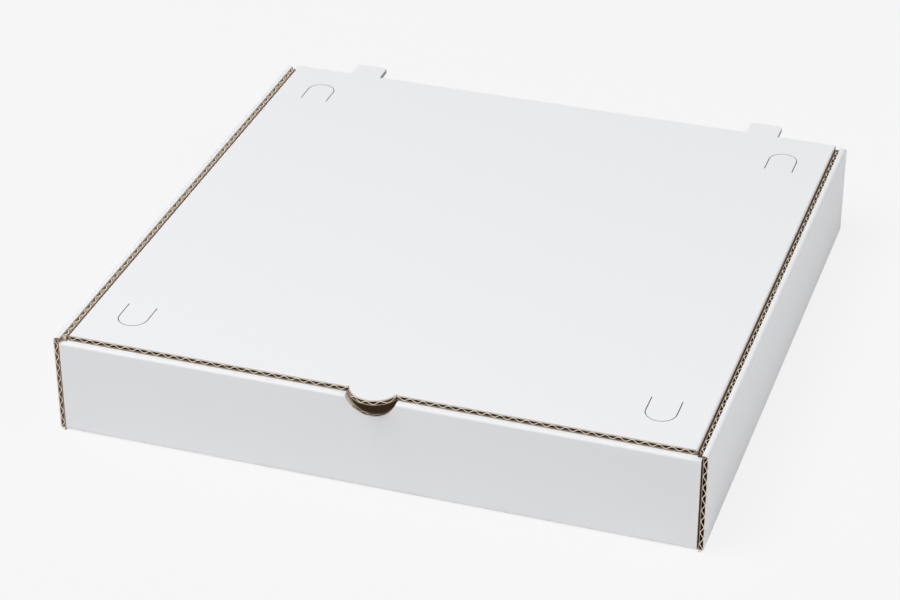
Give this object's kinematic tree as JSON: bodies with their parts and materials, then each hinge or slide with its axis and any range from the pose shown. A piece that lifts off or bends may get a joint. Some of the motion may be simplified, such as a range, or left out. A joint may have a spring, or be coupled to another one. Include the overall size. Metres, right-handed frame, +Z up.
{
  "type": "pizza box",
  "caption": "Low square folding box of corrugated board with a hinged flat lid, thumb tongue, finger notch, press-in lid tabs and rear vents.",
  "frame": {"origin": "middle of the underside, on the surface the box stands on", "axes": "+X along the front wall to its right end, +Y from the front wall to the hinge, +Z up"},
  "size_m": [0.31, 0.3134, 0.051],
  "materials": {
    "corrugated_board": "matt white liner outside, brown kraft inside"
  },
  "bodies": {
    "tray": {"tray": "corrugated_board"},
    "lid": {"lid": "corrugated_board"},
    "press_tab_front_left": {"press_tab_front_left": "corrugated_board"},
    "press_tab_front_right": {"press_tab_front_right": "corrugated_board"},
    "press_tab_back_left": {"press_tab_back_left": "corrugated_board"},
    "press_tab_back_right": {"press_tab_back_right": "corrugated_board"}
  },
  "joints": [
    {"name": "lid_hinge", "type": "hinge", "parent": "tray", "child": "lid", "pos_m": [0, 0.1478, 0.0498], "axis": [-1, 0, 0], "range_deg": [0, 180]},
    {"name": "press_front_left", "type": "hinge", "parent": "lid", "child": "press_tab_front_left", "pos_m": [-0.1267, -0.1108, 0.0486], "axis": [1, 0, 0], "range_deg": [0, 90]},
    {"name": "press_front_right", "type": "hinge", "parent": "lid", "child": "press_tab_front_right", "pos_m": [0.1267, -0.1108, 0.0486], "axis": [1, 0, 0], "range_deg": [0, 90]},
    {"name": "press_back_left", "type": "hinge", "parent": "lid", "child": "press_tab_back_left", "pos_m": [-0.1267, 0.1127, 0.0486], "axis": [-1, 0, 0], "range_deg": [0, 90]},
    {"name": "press_back_right", "type": "hinge", "parent": "lid", "child": "press_tab_back_right", "pos_m": [0.1267, 0.1127, 0.0486], "axis": [-1, 0, 0], "range_deg": [0, 90]}
  ]
}
